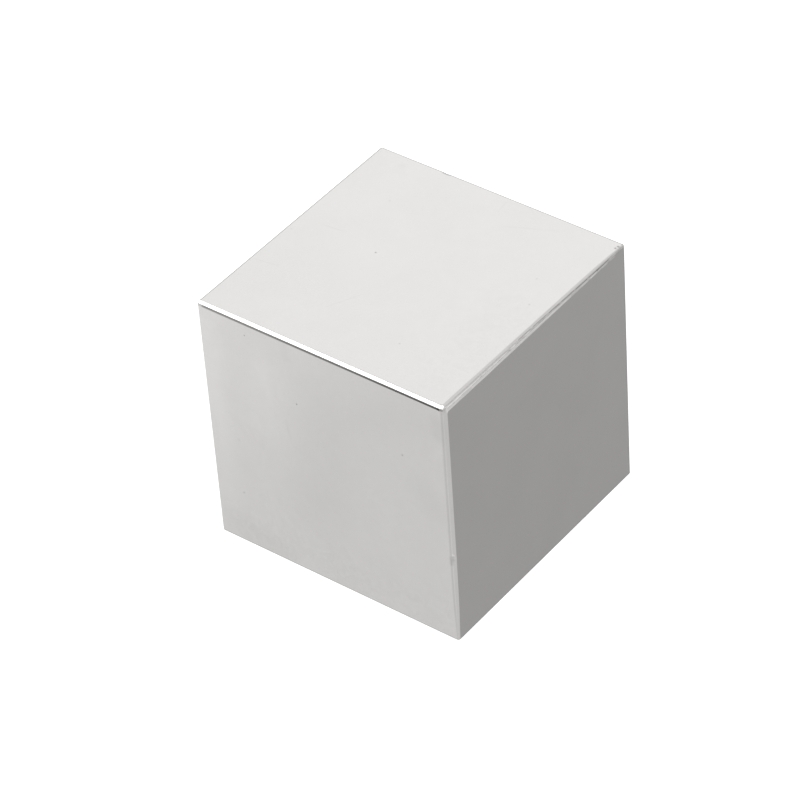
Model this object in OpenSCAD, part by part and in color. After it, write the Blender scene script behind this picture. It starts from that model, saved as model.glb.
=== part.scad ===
// Mirror-finish block cube: a sintered magnet body with a three-layer
// nickel, copper and nickel coating. The sharp edges of the sintered body are
// tumbled round before it is coated, and each layer follows the one below.
// Millimetres, +Z up, origin at the centre of the base face.

/* [Block] */
// Outside size along X, over the coating
block_x = 50.8; // [10:0.1:100]
// Outside size along Y, over the coating
block_y = 50.8; // [10:0.1:100]
// Outside size along Z, over the coating
block_z = 50.8; // [10:0.1:100]
// Outside radius of the tumbled edges and corners, over the coating
edge_r = 0.35; // [0.1:0.05:3]

/* [Coating] */
// Thickness of the nickel layer plated onto the sintered body
underplate_t = 0.006; // [0.003:0.001:0.02]
// Thickness of the copper layer between the two nickel layers
copper_t = 0.007; // [0.003:0.001:0.02]
// Thickness of the bright nickel layer on the outside
topplate_t = 0.007; // [0.003:0.001:0.02]

/* [Hidden] */
$fn = 64;
sides = [-1, 1];

// Sizes are held to a tenth of a micrometre, so that a flat face and the round
// edge beside it still meet on the same line after the sizes are written out
size_step = 0.0001;
function held(size) = round(size / size_step) * size_step;

block = [for (side = [block_x, block_y, block_z]) 2 * held(side / 2)];
outer_r = held(edge_r);
// Depth of each layer's outer face below the outside of the block
copper_depth = held(topplate_t);
underplate_depth = copper_depth + held(copper_t);
core_depth = underplate_depth + held(underplate_t);

// Solid of a rectangle with round corners, centred, running along Z
module rounded_bar(width, depth, length, r) {
    linear_extrude(height = length, center = true) {
        square([width - 2 * r, depth], center = true);
        square([width, depth - 2 * r], center = true);
        for (i = sides, j = sides)
            translate([i * (width / 2 - r), j * (depth / 2 - r)]) circle(r = r);
    }
}

// What a round corner of radius r leaves of a cube of side r, in the octant
// that direction points to
module corner_waste(direction, r) {
    difference() {
        translate(direction * r) cube(2 * r, center = true);
        sphere(r = r);
    }
}

// Block with every edge and corner round, depth below the outside all over
module rounded_block(depth) {
    size = block - 2 * depth * [1, 1, 1];
    r = outer_r - depth;
    translate([0, 0, block.z / 2]) difference() {
        intersection() {
            rounded_bar(size.x, size.y, size.z, r);
            rotate([90, 0, 0]) rounded_bar(size.x, size.z, size.y, r);
            rotate([0, 90, 0]) rounded_bar(size.z, size.y, size.x, r);
        }
        for (i = sides, j = sides, k = sides)
            translate([i * (size.x / 2 - r), j * (size.y / 2 - r), k * (size.z / 2 - r)])
                corner_waste([i, j, k], r);
    }
}

// Closed layer between two depths below the outside of the block
module plated_layer(outer_depth, inner_depth) {
    difference() {
        rounded_block(outer_depth);
        rounded_block(inner_depth);
    }
}

module magnet_core() {
    color([0.24, 0.23, 0.22]) rounded_block(core_depth);
}

module nickel_underplate() {
    color([0.66, 0.63, 0.57]) plated_layer(underplate_depth, core_depth);
}

module copper_plate() {
    color([0.72, 0.42, 0.28]) plated_layer(copper_depth, underplate_depth);
}

module nickel_topplate() {
    color([0.88, 0.88, 0.87]) plated_layer(0, copper_depth);
}

magnet_core();
nickel_underplate();
copper_plate();
nickel_topplate();
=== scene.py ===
"""A bright nickel-plated block cube: four nested pieces, each one a layer of the block.

The sintered body and its three plated layers share one worn shape. The shape is
modelled once, at the outside of the block, and each layer is a copy of it that is
drawn in to the layer's depth and given the layer's thickness.
"""

import math

import bmesh
import bpy
from mathutils import Matrix, Vector


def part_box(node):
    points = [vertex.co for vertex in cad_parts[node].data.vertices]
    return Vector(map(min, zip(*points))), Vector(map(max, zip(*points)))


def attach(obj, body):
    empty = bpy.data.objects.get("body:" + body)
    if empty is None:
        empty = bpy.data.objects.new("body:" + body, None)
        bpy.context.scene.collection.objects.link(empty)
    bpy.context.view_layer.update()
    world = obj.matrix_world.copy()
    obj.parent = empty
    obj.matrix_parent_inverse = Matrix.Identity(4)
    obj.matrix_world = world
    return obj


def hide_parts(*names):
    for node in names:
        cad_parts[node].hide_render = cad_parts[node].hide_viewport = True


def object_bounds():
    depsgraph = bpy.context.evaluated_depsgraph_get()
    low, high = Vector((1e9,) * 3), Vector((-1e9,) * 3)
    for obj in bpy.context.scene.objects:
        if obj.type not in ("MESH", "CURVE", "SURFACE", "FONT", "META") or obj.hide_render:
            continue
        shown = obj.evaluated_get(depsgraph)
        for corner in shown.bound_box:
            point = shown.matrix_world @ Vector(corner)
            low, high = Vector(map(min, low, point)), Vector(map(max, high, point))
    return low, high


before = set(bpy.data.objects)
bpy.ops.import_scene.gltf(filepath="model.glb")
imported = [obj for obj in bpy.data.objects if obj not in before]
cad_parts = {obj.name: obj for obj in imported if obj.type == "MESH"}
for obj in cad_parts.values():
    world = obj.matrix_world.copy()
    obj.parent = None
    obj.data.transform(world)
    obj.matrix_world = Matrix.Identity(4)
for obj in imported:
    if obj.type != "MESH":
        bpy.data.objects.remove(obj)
cad_low, cad_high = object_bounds()

# ---------------------------------------------------------------- sizes, in metres
MM = 0.001
SIDE = cad_high.x - cad_low.x
HALF = SIDE / 2
TOP = cad_high.z
CENTRE = (cad_low + cad_high) / 2
HAIR = MM / 1000  # points closer than this count as being in one place

# Outermost first: each layer's node and the slot of its finish
LAYERS = (
    ("nickel_topplate", "bright_nickel"),
    ("copper_plate", "plated_copper"),
    ("nickel_underplate", "strike_nickel"),
    ("magnet_core", "sintered_alloy"),
)

CELLS = 40  # cells along each side of a face
CELL = SIDE / CELLS
BORDER = 0.05 * MM  # flat strip that keeps each face flat up to its round edge
FLAT = 0.99999  # a flat face's normal points along one axis by at least this much

EDGE_R = 0.35 * MM  # radius of a tumbled edge
EDGE_SEGMENTS = 12
WORN_EDGE_R = 0.85 * MM  # radius of the edges worn in handling
# The front upright edge was worn a little more at its top than at its foot
UPRIGHT_EDGE_TOP_R = 1.15 * WORN_EDGE_R
# The top right edge was worn most at its front corner and least at its back one
ROUGH_EDGE_FRONT_R = 1.2 * MM
ROUGH_EDGE_BACK_R = 0.72 * MM
LEFT_END_SHARE = 0.75  # share of its radius that the front edge keeps at its left end
# A worn edge draws in towards its far end. Its share of its radius starts from the
# first number there, rises by the second with each cell, and is never below the third.
FAR_END_SHARE = -0.3
SHARE_PER_CELL = 0.325
LEAST_SHARE = 0.02

ROUGH_REACH = CELL - 0.02 * MM  # how far in from the corner line the rough edge reaches
ROUGH_CUTS = 5  # extra cuts in each cell along the rough edge
ROUGH_CUT_LEAST = 0.2 * MM  # mesh edges that run along it are longer than this
ROUGH_FLATS = 0.01 * MM  # depth below the flats beside it that stays as it is
ROUGH_ENDS = 1.2 * MM  # length at each end that stays as it is
ROUGH_GRAIN = 0.7 * MM  # width of the lumps in its plating
ROUGH_STRETCH = 5  # how many times longer than wide they are
ROUGH_HEIGHT = 0.03 * MM

# The chip on the front upright edge and the nick on the back top edge: where each is,
# which way it was pressed, how wide and how deep it is
DENTS = (
    ((HALF - 0.3 * MM, 0.3 * MM - HALF, 18.4 * MM), (-1, 1, 0), 0.6 * MM, 0.2 * MM),
    ((-11.2 * MM, HALF - 0.1 * MM, TOP - 0.1 * MM), (0, -1, -1), 0.7 * MM, 0.05 * MM),
)
DENT_CUTS = 6  # extra cuts in each cell around a dent
DENT_REACH = 1.5  # how far around it the cells are cut, in radii of the dent


# ---------------------------------------------------------------- modelling helpers
def pick(obj):
    """Make obj the only selected object."""
    bpy.ops.object.select_all(action="DESELECT")
    obj.select_set(True)
    bpy.context.view_layer.objects.active = obj


def select_in_edit_mode(obj, domain, test):
    """In edit mode, select only the verts, edges or faces that pass the test."""
    bpy.ops.mesh.select_all(action="DESELECT")
    bpy.ops.mesh.select_mode(type=domain)
    mesh = bmesh.from_edit_mesh(obj.data)
    parts = {"VERT": mesh.verts, "EDGE": mesh.edges, "FACE": mesh.faces}[domain]
    for part in parts:
        if test(part):
            part.select_set(True)
    mesh.select_flush_mode()
    bmesh.update_edit_mesh(obj.data)


def faces_touched(point):
    """How many of the block's six planes a point lies on."""
    off = point - CENTRE
    return sum(abs(abs(value) - HALF) < HAIR for value in off)


# ---------------------------------------------------------------- the block's shape
def edge_radius(point):
    """Radius that tumbling and wear left on the edge at this point along it."""
    on_front = point.y < -HALF + HAIR
    on_right = point.x > HALF - HAIR
    on_top = point.z > TOP - HAIR
    if on_front + on_right + on_top < 2:
        return EDGE_R
    if on_top and on_right:
        near_r, far_r, along = ROUGH_EDGE_FRONT_R, ROUGH_EDGE_BACK_R, (point.y + HALF) / SIDE
    elif on_right:
        near_r, far_r, along = UPRIGHT_EDGE_TOP_R, WORN_EDGE_R, (TOP - point.z) / SIDE
    else:
        near_r, far_r, along = WORN_EDGE_R, WORN_EDGE_R, 0
    radius = near_r + (far_r - near_r) * along
    if point.x + HALF < CELL:
        return LEFT_END_SHARE * radius
    to_far_end = min(HALF - point.y, point.z)
    share = SHARE_PER_CELL * to_far_end / CELL + FAR_END_SHARE
    return radius * max(LEAST_SHARE, min(1, share))


def add_blank():
    """A sharp cube, its faces cut into cells."""
    bpy.ops.object.select_all(action="DESELECT")
    bpy.ops.mesh.primitive_cube_add(size=SIDE, location=CENTRE)
    block = bpy.context.object
    block.name = "block_shape"
    bpy.ops.object.transform_apply()
    bpy.ops.object.mode_set(mode="EDIT")
    bpy.ops.mesh.subdivide(number_cuts=CELLS - 1)
    bpy.ops.object.mode_set(mode="OBJECT")
    return block


def round_edges(block):
    """Bevel the twelve edges round, each stretch to its own radius."""
    pick(block)
    mesh = block.data
    widest = ROUGH_EDGE_FRONT_R
    weights = mesh.attributes.new("bevel_weight_edge", "FLOAT", "EDGE")
    for edge in mesh.edges:
        ends = [mesh.vertices[i].co for i in edge.vertices]
        if all(faces_touched(end) >= 2 for end in ends):
            weights.data[edge.index].value = edge_radius((ends[0] + ends[1]) / 2) / widest
    bevel = block.modifiers.new("tumbled edges", "BEVEL")
    bevel.limit_method = "WEIGHT"
    bevel.width = widest
    bevel.segments = EDGE_SEGMENTS
    bevel.use_clamp_overlap = False
    bpy.ops.object.modifier_apply(modifier=bevel.name)


def border_faces(block):
    """Set a narrow strip just inside the border of each of the six flat faces."""
    pick(block)
    bpy.ops.object.mode_set(mode="EDIT")
    select_in_edit_mode(block, "FACE", lambda face: (
        max(abs(value) for value in face.normal) > FLAT
        and all(faces_touched(v.co) for v in face.verts)))
    bpy.ops.mesh.inset(thickness=BORDER, use_boundary=True, use_even_offset=True)
    bpy.ops.object.mode_set(mode="OBJECT")


def on_rough_edge(point):
    return point.x > HALF - ROUGH_REACH and point.z > TOP - ROUGH_REACH


def in_rough_plating(point):
    """Whether a point is on the rough edge's round, clear of the flats and of both ends."""
    below_flats = point.x < HALF - ROUGH_FLATS and point.z < TOP - ROUGH_FLATS
    return on_rough_edge(point) and below_flats and abs(point.y) < HALF - ROUGH_ENDS


def roughen_edge(block):
    """Cut the top right edge finer and push its plating about."""
    pick(block)
    bpy.ops.object.mode_set(mode="EDIT")
    select_in_edit_mode(block, "EDGE", lambda edge: (
        all(on_rough_edge(v.co) for v in edge.verts)
        and abs(edge.verts[0].co.y - edge.verts[1].co.y) > ROUGH_CUT_LEAST))
    bpy.ops.mesh.subdivide(number_cuts=ROUGH_CUTS)
    bpy.ops.object.mode_set(mode="OBJECT")
    rough = block.vertex_groups.new(name="rough plating")
    rough.add([v.index for v in block.data.vertices if in_rough_plating(v.co)], 1.0, "REPLACE")
    lumps = bpy.data.textures.new("plating lumps", "CLOUDS")
    lumps.noise_scale = ROUGH_GRAIN
    bpy.ops.object.empty_add(location=(0, 0, 0))
    stretch = bpy.context.object
    stretch.scale.y = ROUGH_STRETCH
    bpy.context.view_layer.update()
    pick(block)
    push = block.modifiers.new("rough plating", "DISPLACE")
    push.texture = lumps
    push.texture_coords = "OBJECT"
    push.texture_coords_object = stretch
    push.vertex_group = rough.name
    push.strength = ROUGH_HEIGHT
    bpy.ops.object.modifier_apply(modifier=push.name)
    block.vertex_groups.clear()
    bpy.data.objects.remove(stretch)


def dent(block, place, inward, radius, depth):
    """Press a round dent into the block: finer faces first, then a soft pull inwards."""
    place = Vector(place)
    reach = DENT_REACH * radius
    pick(block)
    bpy.ops.object.mode_set(mode="EDIT")
    select_in_edit_mode(block, "FACE", lambda face: (
        min((v.co - place).length for v in face.verts) < reach
        or (face.calc_center_median() - place).length < reach))
    bpy.ops.mesh.subdivide(number_cuts=DENT_CUTS)
    mesh = bmesh.from_edit_mesh(block.data)
    nearest = min((v.co - place).length for v in mesh.verts) + HAIR
    select_in_edit_mode(block, "VERT", lambda v: (v.co - place).length < nearest)
    bpy.ops.transform.translate(
        value=Vector(inward).normalized() * depth,
        use_proportional_edit=True,
        proportional_edit_falloff="SMOOTH",
        proportional_size=radius,
    )
    bpy.ops.object.mode_set(mode="OBJECT")


def shape_block():
    block = add_blank()
    round_edges(block)
    border_faces(block)
    roughen_edge(block)
    for place, inward, radius, depth in DENTS:
        dent(block, place, inward, radius, depth)
    return block


# ---------------------------------------------------------------- layers of the block
def layer_depths():
    """Depth of each layer's outer and inner face below the outside of the block."""
    outer = [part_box(node)[0].z - cad_low.z for node, slot in LAYERS]
    return list(zip(outer, outer[1:] + [None]))


def make_layer(block, node, outer, inner):
    """Draw a copy of the block in to the layer's outer face and give it its wall."""
    mesh = block.data.copy()
    layer = bpy.data.objects.new(f"{node}_worn", mesh)
    bpy.context.collection.objects.link(layer)
    pick(layer)
    if outer > 0:
        bpy.ops.object.mode_set(mode="EDIT")
        bpy.ops.mesh.select_all(action="SELECT")
        bpy.ops.transform.shrink_fatten(value=-outer)
        bpy.ops.object.mode_set(mode="OBJECT")
    if inner is not None:
        wall = layer.modifiers.new("layer thickness", "SOLIDIFY")
        wall.thickness = inner - outer
        wall.offset = -1
        wall.use_even_offset = True
        bpy.ops.object.modifier_apply(modifier=wall.name)
    bpy.ops.object.shade_smooth()
    return layer


# ---------------------------------------------------------------- wiring of node trees
class Wiring:
    """Adds nodes to a tree and wires them up. A value may be a number or a node's output."""

    def __init__(self, tree):
        self.tree = tree

    def put(self, socket, value):
        if isinstance(value, bpy.types.NodeSocket):
            self.tree.links.new(value, socket)
        else:
            socket.default_value = value

    def node(self, kind, values=None, **settings):
        node = self.tree.nodes.new(kind)
        for name, setting in settings.items():
            setattr(node, name, setting)
        for name, value in (values or {}).items():
            self.put(node.inputs[name], value)
        return node

    def math(self, operation, first, second, clamp=False):
        values = {0: first, 1: second}
        return self.node("ShaderNodeMath", values, operation=operation, use_clamp=clamp).outputs[0]

    def times(self, first, second):
        return self.math("MULTIPLY", first, second)

    def one_over(self, value):
        return self.math("DIVIDE", 1.0, value)

    def total(self, start, *parts):
        """Start plus each part, where a part is a mask and how strongly it counts."""
        for mask, strength in parts:
            start = self.math("ADD", start, self.times(mask, strength))
        return start

    def vector(self, operation, first, second=(0, 0, 0), answer="Vector"):
        node = self.node("ShaderNodeVectorMath", {0: first, 1: second}, operation=operation)
        return node.outputs[answer]

    def scaled(self, vector, factor):
        node = self.node("ShaderNodeVectorMath", {0: vector, "Scale": factor}, operation="SCALE")
        return node.outputs["Vector"]

    def ramp(self, value, start, end, low=0.0, high=1.0):
        """Go softly from low to high while value goes from start to end."""
        values = {"Value": value, "From Min": start, "From Max": end, "To Min": low, "To Max": high}
        return self.node("ShaderNodeMapRange", values, interpolation_type="SMOOTHSTEP").outputs[0]

    def blend(self, mask, first, second):
        """One colour where the mask is 0, the other where it is 1."""
        values = {"Factor": mask, 6: (*first, 1), 7: (*second, 1)}
        return self.node("ShaderNodeMix", values, data_type="RGBA").outputs[2]

    def place(self):
        return self.node("ShaderNodeTexCoord").outputs["Object"]

    def effect(self, group, **values):
        return self.node("ShaderNodeGroup", values, node_tree=group).outputs["Mask"]

    def surface(self, shader, colour, roughness, height, depth):
        """Give a shader its colour, its roughness and a relief that is depth deep at height 1."""
        relief = self.node("ShaderNodeBump", {"Height": height, "Distance": depth})
        self.put(shader.inputs["Base Color"], colour)
        self.put(shader.inputs["Roughness"], roughness)
        self.put(shader.inputs["Normal"], relief.outputs["Normal"])


# ---------------------------------------------------------------- effects shared by finishes
SMALLEST_PIT = 0.4  # radius of the smallest pit, as a share of Radius
PIT_FLOOR = 0.5  # radius of a pit's flat floor, as a share of the pit's own


def new_effect(name, numbers):
    """A node group with these inputs and one mask as its output."""
    group = bpy.data.node_groups.new(name, "ShaderNodeTree")
    for label, value in numbers.items():
        kind = "NodeSocketVector" if isinstance(value, tuple) else "NodeSocketFloat"
        group.interface.new_socket(label, in_out="INPUT", socket_type=kind).default_value = value
    group.interface.new_socket("Mask", in_out="OUTPUT", socket_type="NodeSocketFloat")
    wiring = Wiring(group)
    given = group.nodes.new("NodeGroupInput").outputs
    result = group.nodes.new("NodeGroupOutput").inputs["Mask"]
    return group, wiring, given, result


def haze_effect():
    """Soft clouds, 0 to 1. Size is the width of a cloud, Soft how gently they fade."""
    group, wiring, given, result = new_effect(
        "cloudy haze", {"Size": 5 * MM, "Soft": 0.2, "Swirl": 0.6})
    noise = wiring.node("ShaderNodeTexNoise", {
        "Vector": wiring.place(), "Scale": wiring.one_over(given["Size"]),
        "Detail": 4.0, "Roughness": 0.55, "Distortion": given["Swirl"]}).outputs[0]
    low = wiring.math("SUBTRACT", 0.5, given["Soft"])
    high = wiring.math("ADD", 0.5, given["Soft"])
    wiring.put(result, wiring.ramp(noise, low, high))
    return group


def grain_effect():
    """Fine even grain, 0 to 1. Size is the width of a grain."""
    group, wiring, given, result = new_effect("fine grain", {"Size": 0.1 * MM})
    noise = wiring.node("ShaderNodeTexNoise", {
        "Vector": wiring.place(), "Scale": wiring.one_over(given["Size"]),
        "Detail": 2.0, "Roughness": 0.6}).outputs[0]
    wiring.put(result, noise)
    return group


def pits_effect():
    """Small round pits, 1 inside a pit. Share is how many of the places hold one."""
    group, wiring, given, result = new_effect(
        "pits", {"Spacing": 1 * MM, "Radius": 0.1 * MM, "Share": 0.3})
    cells = wiring.node("ShaderNodeTexVoronoi", {
        "Vector": wiring.place(), "Scale": wiring.one_over(given["Spacing"])}).outputs
    chance = wiring.node("ShaderNodeSeparateColor", {0: cells["Color"]}).outputs
    pitted = wiring.math("LESS_THAN", chance[0], given["Share"])
    away = wiring.times(cells["Distance"], given["Spacing"])
    own_radius = wiring.times(given["Radius"], wiring.math("ADD", SMALLEST_PIT, chance[1]))
    inside = wiring.ramp(away, own_radius, wiring.times(own_radius, PIT_FLOOR))
    wiring.put(result, wiring.times(inside, pitted))
    return group


def scratches_effect():
    """Sparse straight hairlines, 1 on a line. Turn is the way they run."""
    group, wiring, given, result = new_effect("hairline scratches", {
        "Length": 4 * MM, "Gap": 0.5 * MM, "Width": 0.03 * MM, "Share": 0.1, "Turn": (0.3, 0.2, 0.6)})
    turned = wiring.node("ShaderNodeVectorRotate", {
        "Vector": wiring.place(), "Rotation": given["Turn"]}, rotation_type="EULER_XYZ").outputs[0]
    across = wiring.one_over(given["Gap"])
    stretch = wiring.node("ShaderNodeCombineXYZ", {
        0: wiring.one_over(given["Length"]), 1: across, 2: across}).outputs[0]
    cells = wiring.node("ShaderNodeTexVoronoi", {
        "Vector": wiring.vector("MULTIPLY", turned, stretch), "Scale": 1.0}).outputs
    chance = wiring.node("ShaderNodeSeparateColor", {0: cells["Color"]}).outputs
    scratched = wiring.math("LESS_THAN", chance[0], given["Share"])
    line = wiring.ramp(cells["Distance"], wiring.math("DIVIDE", given["Width"], given["Gap"]), 0.0)
    wiring.put(result, wiring.times(line, scratched))
    return group


def mark_effect():
    """One soft mark along the line from Start to End, 1 at its middle and 0 at Width from it."""
    group, wiring, given, result = new_effect(
        "soft mark", {"Start": (0.0, 0.0, 0.0), "End": (0.0, 0.0, 0.0), "Width": MM})
    from_start = wiring.vector("SUBTRACT", wiring.place(), given["Start"])
    line = wiring.vector("SUBTRACT", given["End"], given["Start"])
    reached = wiring.vector("DOT_PRODUCT", from_start, line, "Value")
    full = wiring.vector("DOT_PRODUCT", line, line, "Value")
    on_line = wiring.scaled(line, wiring.math("DIVIDE", reached, full, clamp=True))
    off_line = wiring.vector("SUBTRACT", from_start, on_line)
    away = wiring.vector("LENGTH", off_line, answer="Value")
    wiring.put(result, wiring.ramp(away, given["Width"], 0.0))
    return group


HAZE = haze_effect()
GRAIN = grain_effect()
PITS = pits_effect()
SCRATCHES = scratches_effect()
MARK = mark_effect()


# ---------------------------------------------------------------- marks and painted light on the bright nickel
def pit(x, y, half_width, darker):
    """A round mark, which starts and ends in one place."""
    return (x, y), (x, y), half_width, darker


# Each mark, in millimetres: where it starts and ends, its half width, and how much
# darker it is, or lighter where that is negative. On top a place is x and y.
TOP_MARKS = (
    pit(-8.3, 1.1, 0.24, 0.50),
    pit(-14.9, 13.8, 0.25, 0.17),
    pit(-24.2, -1.4, 0.25, 0.17),
    pit(18.4, 9.9, 0.25, 0.17),
    pit(21.3, 3.7, 0.25, 0.18),
    pit(9.4, -15.9, 0.25, 0.18),
    # hairlines
    ((-20.3, 2.4), (-16.6, 2.8), 0.2, 0.035),
    ((-24.5, -11.2), (-19.8, -10.5), 0.2, 0.035),
    ((-6.5, -14.9), (-3.5, -9.1), 0.2, 0.03),
    ((5.8, 18.5), (10.4, 20.7), 0.25, 0.025),
    ((10.4, 20.7), (15.0, 22.8), 0.25, 0.02),
    ((2.3, 21.1), (2.1, 24.3), 0.2, 0.025),
    # a faint blot, and a darker spot in the nick on the back edge
    ((-19.3, 22.7), (-18.6, 22.9), 1.0, 0.02),
    ((-11.7, 25.1), (-10.7, 25.1), 0.55, 0.26),
)
# On the front a place is x and the height above the foot
FRONT_MARKS = (
    pit(-15.6, 47.9, 0.25, 0.38),
    pit(-5.6, 37.7, 0.24, 0.52),
    pit(-19.3, 23.5, 0.25, 0.18),
    pit(-19.5, 11.5, 0.26, 0.28),
    pit(16.1, 36.9, 0.30, 0.28),
    ((16.1, 36.9), (15.3, 38.9), 0.25, 0.015),
    # soft darker and lighter patches
    ((1.0, 38.0), (-4.0, 14.0), 11.0, 0.036),
    ((-12.5, 40.0), (-13.0, 31.0), 8.0, -0.03),
    ((21.0, 46.0), (10.0, 42.0), 8.0, 0.025),
    ((-24.0, 46.0), (-23.0, 10.0), 5.0, -0.03),
    ((-12.0, 42.0), (-11.6, 37.0), 1.6, -0.012),
    ((-7.1, 50.0), (-7.1, 47.0), 1.6, 0.025),
    ((-8.3, 33.0), (-7.7, 29.0), 0.4, 0.025),
    ((23.7, 47.5), (23.7, 44.5), 2.2, 0.04),
    ((24.0, 41.7), (23.2, 40.0), 1.6, -0.02),
    ((20.4, 31.4), (21.6, 28.0), 4.5, 0.02),
    ((-20.0, 3.5), (-12.0, 1.5), 4.5, 0.03),
)
# Painted light by the front upright edge: in from the right face, back from the front, and the height
UPRIGHT_EDGE_PAINTED_LIGHT = (
    # a painted dark line at the top corner, where the dark band that the edge mirrors ends, then painted
    # shade in the chip and a painted highlight on its lip
    ((1.4, 0.07, 50.27), (0.5, 0.15, 50.22), 0.22, 0.5),
    ((0.6, 0.10, 18.6), (0.6, 0.10, 17.2), 0.6, 0.12),
    ((0.3, 0.15, 19.3), (0.05, 0.35, 19.0), 0.22, -0.22),
)
# Nicks and painted reflections by the rough edge: in from the right face, y, and down from the top
ROUGH_EDGE_NICKS_AND_PAINTED_REFLECTIONS = (
    # two nicks at its back end
    ((0.60, 24.25, 0.05), (0.45, 24.25, 0.10), 0.33, 0.6),
    ((0.70, 23.65, 0.0), (0.65, 23.6, 0.0), 0.33, 0.5),
    # a painted reflection: dark and light lines that run along it
    ((0.07, -24.4, 0.72), (0.05, -18.0, 0.75), 0.35, 0.13),
    ((0.06, -20.0, 0.72), (0.03, 3.0, 0.68), 0.22, 0.10),
    ((0.44, -4.5, 0.16), (0.41, -1.2, 0.16), 0.12, 0.30),
    ((0.39, -0.4, 0.17), (0.35, 3.2, 0.19), 0.12, 0.34),
    ((0.31, 4.0, 0.22), (0.27, 6.8, 0.24), 0.12, 0.42),
    ((0.27, 7.5, 0.24), (0.23, 10.9, 0.26), 0.12, 0.38),
    ((0.21, 11.5, 0.28), (0.18, 14.6, 0.30), 0.12, 0.46),
    ((0.18, 15.2, 0.30), (0.13, 20.8, 0.33), 0.12, 0.50),
    ((0.68, -7.0, 0.05), (0.57, 6.0, 0.06), 0.12, 0.10),
    ((0.05, 10.0, 0.56), (0.05, 17.5, 0.50), 0.35, 0.16),
    ((0.12, 17.5, 0.37), (0.13, 24.2, 0.32), 0.32, 0.28),
    ((0.27, -24.2, 0.42), (0.18, 3.0, 0.38), 0.24, -0.14),
    # more painted reflection: light dashes below them
    ((0.02, 13.0, 0.65), (0.02, 14.6, 0.64), 0.16, -0.22),
    ((0.02, 15.5, 0.65), (0.02, 17.9, 0.64), 0.16, -0.38),
    ((0.01, 18.8, 0.68), (0.01, 20.2, 0.67), 0.18, -0.45),
    ((0.01, 21.2, 0.67), (0.01, 22.4, 0.66), 0.18, -0.35),
)


def top_point(x, y):
    return Vector((x * MM, y * MM, TOP))


def front_point(x, height):
    return Vector((x * MM, -HALF, height * MM))


def upright_edge_point(inward, back, height):
    return Vector((HALF - inward * MM, back * MM - HALF, height * MM))


def rough_edge_point(inward, y, down):
    return Vector((HALF - inward * MM, y * MM, TOP - down * MM))


MARK_GROUPS = (
    (top_point, TOP_MARKS),
    (front_point, FRONT_MARKS),
    (upright_edge_point, UPRIGHT_EDGE_PAINTED_LIGHT),
    (rough_edge_point, ROUGH_EDGE_NICKS_AND_PAINTED_REFLECTIONS),
)
# A rubbed place on top, beside the rough edge, that is more mottled: its start, its end
# and its half width
RUBBED_START = top_point(20, -20)
RUBBED_END = top_point(20, 0)
RUBBED_WIDTH = 7 * MM
# The front is duller than the rest: where that begins and where it is full, in Y, and
# the heights where its foot begins to be mottled and where it is most so
FRONT_SKIN = (0.2 * MM - HALF, 0.05 * MM - HALF)
MOTTLED_FOOT = (13 * MM, 3 * MM)


def marks_and_painted_light(wiring):
    """Each mark's mask, with how much darker it makes the nickel. Some are painted shade, highlights and
    reflections by the worn edges.
    """
    parts = []
    for point, marks in MARK_GROUPS:
        for start, end, half_width, darker in marks:
            mask = wiring.effect(MARK, Start=point(*start), End=point(*end), Width=half_width * MM)
            parts.append((mask, darker))
    return parts


# ---------------------------------------------------------------- finishes
# Colour of each finish where it is clean, and where it is clouded or stained
NICKEL_COLOURS = ((0.780, 0.772, 0.757), (0.782, 0.771, 0.759))
COPPER_COLOURS = ((0.80, 0.45, 0.31), (0.64, 0.33, 0.22))
STRIKE_COLOURS = ((0.66, 0.63, 0.57), (0.54, 0.51, 0.45))
SINTER_COLOURS = ((0.26, 0.25, 0.24), (0.17, 0.165, 0.155))
# Lightness of two of them before haze, grain and marks darken them
NICKEL_LIGHTNESS = 1.042
SINTER_LIGHTNESS = 1.1
SINTER_METALLIC = 0.85
MOST_DULLED = 0.04  # what darkens the bright nickel more than this makes it no rougher


def new_material(name, metallic=1.0):
    material = bpy.data.materials.new(name)
    material.use_nodes = True
    shader = material.node_tree.nodes["Principled BSDF"]
    shader.inputs["Metallic"].default_value = metallic
    return material, Wiring(material.node_tree), shader


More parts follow.
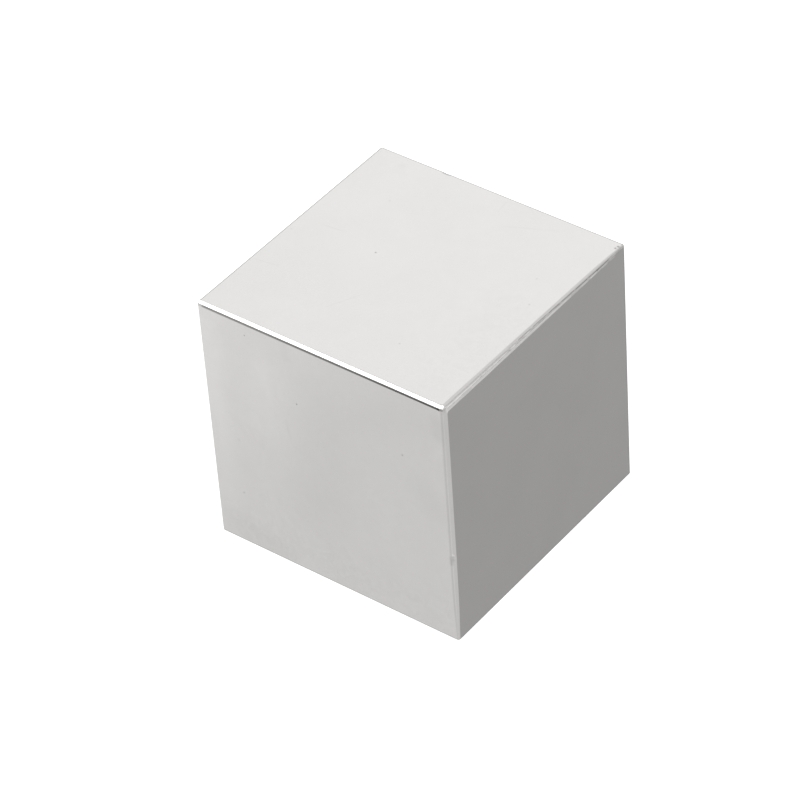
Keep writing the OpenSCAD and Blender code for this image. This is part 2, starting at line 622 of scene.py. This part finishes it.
def bright_nickel():
    """Mirror nickel: a faint cloudy haze, a few pits, hairlines and marks, with painted shade, highlights
    and reflections by the worn edges.
    """
    material, wiring, shader = new_material("bright_nickel")
    clouds = wiring.effect(HAZE, Size=13 * MM, Soft=0.22)
    mottle = wiring.effect(HAZE, Size=2.2 * MM, Soft=0.18, Swirl=1.5)
    pits = wiring.effect(PITS, Spacing=2.6 * MM, Radius=0.1 * MM, Share=0.35)
    scratches = wiring.math(
        "MAXIMUM",
        wiring.effect(SCRATCHES, Length=5 * MM, Gap=1.3 * MM, Width=0.08 * MM, Share=0.12),
        wiring.effect(
            SCRATCHES, Length=4 * MM, Gap=1.1 * MM, Width=0.07 * MM, Share=0.08, Turn=(1.9, 0.7, -0.4)))
    grain = wiring.effect(GRAIN, Size=0.12 * MM)
    speckle = wiring.effect(GRAIN, Size=0.3 * MM)

    place = wiring.node("ShaderNodeSeparateXYZ", {0: wiring.place()}).outputs
    on_front = wiring.ramp(place["Y"], *FRONT_SKIN)
    low_down = wiring.ramp(place["Z"], *MOTTLED_FOOT)
    rubbed = wiring.effect(MARK, Start=RUBBED_START, End=RUBBED_END, Width=RUBBED_WIDTH)
    front_mottle = wiring.total(0.006, (low_down, 0.018))
    mottle_strength = wiring.total(0.008, (on_front, front_mottle), (rubbed, 0.015))
    cloud_strength = wiring.total(0.010, (on_front, 0.006))
    darker = wiring.total(
        0.0, (mottle, mottle_strength), (clouds, cloud_strength), (on_front, 0.014),
        (pits, 0.03), (scratches, 0.015), (speckle, 0.032), *marks_and_painted_light(wiring))
    dulled = wiring.math("MINIMUM", darker, MOST_DULLED)
    metal = wiring.blend(mottle, *NICKEL_COLOURS)
    wiring.surface(
        shader,
        colour=wiring.scaled(metal, wiring.math("SUBTRACT", NICKEL_LIGHTNESS, darker)),
        roughness=wiring.total(0.11, (clouds, 0.03), (dulled, 0.5)),
        height=wiring.total(0.0, (grain, 0.04), (pits, -0.5), (scratches, -0.1)),
        depth=0.01 * MM)
    return material


def plated_copper():
    """Acid copper: satin, a little stained, with fine grain and odd pits."""
    material, wiring, shader = new_material("plated_copper")
    stain = wiring.effect(HAZE, Size=7 * MM, Soft=0.15, Swirl=1.0)
    grain = wiring.effect(GRAIN, Size=0.15 * MM)
    pits = wiring.effect(PITS, Spacing=1.8 * MM, Radius=0.12 * MM, Share=0.3)
    scratches = wiring.effect(SCRATCHES, Share=0.15)
    lightness = wiring.total(1.0, (pits, -0.45), (scratches, 0.12))
    wiring.surface(
        shader,
        colour=wiring.scaled(wiring.blend(stain, *COPPER_COLOURS), lightness),
        roughness=wiring.total(0.26, (stain, 0.12), (grain, 0.1)),
        height=wiring.total(0.0, (grain, 0.3), (pits, -1.0)),
        depth=0.02 * MM)
    return material


def strike_nickel():
    """Dull nickel: yellowish grey, grainy, scratched by the tumbling stones."""
    material, wiring, shader = new_material("strike_nickel")
    stain = wiring.effect(HAZE, Size=9 * MM, Soft=0.2)
    grain = wiring.effect(GRAIN, Size=0.2 * MM)
    pits = wiring.effect(PITS, Spacing=1.2 * MM, Radius=0.13 * MM, Share=0.4)
    scratches = wiring.math(
        "MAXIMUM",
        wiring.effect(SCRATCHES, Length=3 * MM, Gap=0.4 * MM, Share=0.3),
        wiring.effect(SCRATCHES, Length=2.5 * MM, Gap=0.4 * MM, Share=0.3, Turn=(1.1, -0.5, 2.0)))
    lightness = wiring.total(1.0, (pits, -0.4), (scratches, 0.15))
    wiring.surface(
        shader,
        colour=wiring.scaled(wiring.blend(stain, *STRIKE_COLOURS), lightness),
        roughness=wiring.total(0.38, (grain, 0.16), (scratches, -0.1)),
        height=wiring.total(0.0, (grain, 0.4), (pits, -1.0), (scratches, -1.0)),
        depth=0.02 * MM)
    return material


def sintered_alloy():
    """Pressed and sintered magnet body: dark, grainy and full of pores."""
    material, wiring, shader = new_material("sintered_alloy", SINTER_METALLIC)
    patches = wiring.effect(HAZE, Size=8 * MM, Soft=0.2)
    grain = wiring.effect(GRAIN, Size=0.25 * MM)
    pores = wiring.math(
        "MAXIMUM",
        wiring.effect(PITS, Spacing=0.6 * MM, Radius=0.1 * MM, Share=0.5),
        wiring.effect(PITS, Spacing=1.9 * MM, Radius=0.3 * MM, Share=0.2))
    scratches = wiring.effect(SCRATCHES, Length=6 * MM, Gap=0.6 * MM, Width=0.06 * MM, Share=0.2)
    lightness = wiring.total(SINTER_LIGHTNESS, (pores, -0.6), (grain, -0.3), (scratches, 0.3))
    wiring.surface(
        shader,
        colour=wiring.scaled(wiring.blend(patches, *SINTER_COLOURS), lightness),
        roughness=wiring.ramp(grain, 0.3, 0.7, low=0.55, high=0.8),
        height=wiring.total(grain, (pores, -2.0)),
        depth=0.03 * MM)
    return material


FINISHES = {
    "bright_nickel": bright_nickel,
    "plated_copper": plated_copper,
    "strike_nickel": strike_nickel,
    "sintered_alloy": sintered_alloy,
}


# ---------------------------------------------------------------- studio
# The camera stands well back with a long lens, a little rolled
CAMERA_OFF = Vector((6.3837, -7.83, 8.4642))  # from the block's centre, in sides of the block
CAMERA_LOOK = Vector((-0.48747, 0.58971, -0.6439))  # the way it faces
CAMERA_ROLL = math.radians(-4.27)
CAMERA_LENS = 177.3  # millimetres, as is the sensor's width
CAMERA_SENSOR = 36

FLOOR_SIZE = 6  # metres
# White paper that glows faintly, as on a light table
FLOOR_LOOK = {
    "Base Color": (0.25, 0.25, 0.25, 1),
    "Emission Color": (1, 1, 1, 1),
    "Emission Strength": 1.0,
    "Roughness": 0.9,
    "Specular IOR Level": 0.0,
}

KEY_AWAY = Vector((-0.488, -0.369, 0.791))  # the way to the key light from the block's centre
KEY_DISTANCE = 1.2
KEY_SIZE = 1.2
KEY_POWER = 3

# The room that the block mirrors, as patches painted over one another in this order.
# A row says how bright a patch is, which way it lies from the block, and how many
# degrees off that way it stays full and has faded out. Straight bands may follow: the
# way each one faces across, from where to where it spreads, and how softly it ends.
# A patch shows only within all its bands.
ROOM = (
    ("back wall, left", 0.20, ((-0.806, 0.591, 0.0), 55, 75)),
    ("table, left", 0.73, ((-0.75, -0.25, -0.62), 45, 75)),
    ("table, beneath", 0.06, ((-0.60, 0.10, -0.80), 15, 32)),
    ("table, front", 0.64, ((0.35, -0.68, -0.64), 30, 48)),
    ("table, right", 0.64, ((0.75, 0.20, -0.64), 30, 45)),
    ("table, near", 0.74, ((0.33, -0.57, -0.75), 6.5, 10.5)),
    ("table, far", 0.55, ((0.0, -0.80, -0.59), 2.5, 6)),
    ("table, front left", 1.02, ((-0.62, -0.55, -0.56), 3, 9)),
    ("table, lit at left", 1.1, ((-0.76, 0.05, -0.65), 14, 22)),
    ("side wall", 0.84, ((0.80, 0.59, -0.05), 22, 32)),
    ("back wall, right", 0.76, ((0.276, 0.591, 0.757), 28, 36)),
    ("back wall, lit", 0.86, ((0.684, 0.45, 0.574), 5, 9.5)),
    ("back wall", 0.967, ((-0.488, 0.591, 0.642), 12, 19)),
    ("back wall, high", 1.035, ((-0.47, 0.72, 0.51), 0, 14)),
    ("doorway", 0.42, ((0.70, 0.60, -0.20), 32, 42), ((0, 1, 0), 0.632, 0.75, 0.010)),
    ("light stand", 0.36, ((0.60, 0.62, 0.50), 20, 32), ((-0.531, 0.776, -0.340), -0.02, 0.02, 0.015)),
    ("dark cloth", 0.395, ((0.488, 0.591, -0.642), 7, 18)),
    ("floor behind", 0.08, ((-0.02, 0.68, -0.73), 16, 25)),
    ("big softbox", 3.0, ((-0.60, -0.290, 0.745), 31, 34)),
    ("big softbox, right half", 3.0, ((-0.10, -0.290, 0.95), 28, 31)),
    ("gap between softbox and table", 0.02, ((-0.98, -0.20, 0.0), 60, 66),
     ((0, 0, 1), -0.38, 0.28, 0.03), ((1, 0, 0), -0.535, 2.0, 0.085)),
)
ROOM_BASE = 0.55  # brightness where nothing hangs


def camera():
    forward = CAMERA_LOOK.normalized()
    level = forward.cross(Vector((0, 0, 1))).normalized()
    level_up = level.cross(forward)
    right = math.cos(CAMERA_ROLL) * level + math.sin(CAMERA_ROLL) * level_up
    up = math.cos(CAMERA_ROLL) * level_up - math.sin(CAMERA_ROLL) * level
    data = bpy.data.cameras.new("camera")
    data.lens = CAMERA_LENS
    data.sensor_width = CAMERA_SENSOR
    obj = bpy.data.objects.new("camera", data)
    bpy.context.collection.objects.link(obj)
    turn = Matrix((right, up, -forward)).transposed().to_4x4()
    obj.matrix_world = Matrix.Translation(CENTRE + CAMERA_OFF * SIDE) @ turn
    bpy.context.scene.camera = obj


def floor():
    bpy.ops.object.select_all(action="DESELECT")
    bpy.ops.mesh.primitive_plane_add(size=FLOOR_SIZE, location=(0, 0, cad_low.z))
    ground = bpy.context.object
    ground.name = "floor"
    material, wiring, shader = new_material("floor_paper", metallic=0.0)
    for name, value in FLOOR_LOOK.items():
        wiring.put(shader.inputs[name], value)
    ground.data.materials.append(material)
    ground.visible_glossy = False


def room_patch(wiring, towards, direction, full, faded):
    """Mask of a round patch, 1 out to the full angle and 0 past the faded one."""
    nearness = wiring.vector("DOT_PRODUCT", towards, Vector(direction).normalized(), "Value")
    return wiring.ramp(nearness, math.cos(math.radians(faded)), math.cos(math.radians(full)))


def room_band(wiring, towards, across, low, high, fade):
    """Mask of a straight band, 1 between low and high."""
    along = wiring.vector("DOT_PRODUCT", towards, Vector(across).normalized(), "Value")
    return wiring.times(
        wiring.ramp(along, low - fade, low + fade), wiring.ramp(along, high + fade, high - fade))


def mirrored_room(wiring):
    """Brightness of the room in each direction, as the block's mirror faces see it."""
    towards = wiring.node("ShaderNodeTexCoord").outputs["Generated"]
    brightness = ROOM_BASE
    for name, own_brightness, patch, *bands in ROOM:
        mask = room_patch(wiring, towards, *patch)
        for band in bands:
            mask = wiring.times(mask, room_band(wiring, towards, *band))
        values = {"Factor": mask, "A": brightness, "B": own_brightness}
        brightness = wiring.node("ShaderNodeMix", values, data_type="FLOAT", label=name).outputs["Result"]
    return brightness


def studio_world():
    """White light all round, but the room in what the block mirrors."""
    world = bpy.data.worlds.new("studio")
    bpy.context.scene.world = world
    world.use_nodes = True
    world.node_tree.nodes.clear()
    wiring = Wiring(world.node_tree)
    plain = wiring.node("ShaderNodeBackground", {"Color": (1, 1, 1, 1)}).outputs[0]
    mirrored = wiring.node("ShaderNodeBackground", {"Color": mirrored_room(wiring)}).outputs[0]
    is_mirrored = wiring.node("ShaderNodeLightPath").outputs["Is Glossy Ray"]
    chosen = wiring.node("ShaderNodeMixShader", {"Fac": is_mirrored, 1: plain, 2: mirrored}).outputs[0]
    wiring.node("ShaderNodeOutputWorld", {"Surface": chosen})


def key_light():
    data = bpy.data.lights.new("key", "AREA")
    data.shape = "SQUARE"
    data.size = KEY_SIZE
    data.energy = KEY_POWER
    obj = bpy.data.objects.new("key", data)
    bpy.context.collection.objects.link(obj)
    turn = KEY_AWAY.to_track_quat("Z", "Y").to_matrix().to_4x4()
    obj.matrix_world = Matrix.Translation(CENTRE + KEY_AWAY * KEY_DISTANCE) @ turn
    obj.visible_glossy = False


# ---------------------------------------------------------------- put it together
bpy.context.scene.view_settings.view_transform = "Standard"
camera()
floor()
studio_world()
key_light()

block = shape_block()
for (node, slot), (outer, inner) in zip(LAYERS, layer_depths()):
    layer = make_layer(block, node, outer, inner)
    layer.data.materials.clear()
    layer.data.materials.append(FINISHES[slot]())
    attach(layer, "root")
    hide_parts(node)
bpy.data.objects.remove(block)
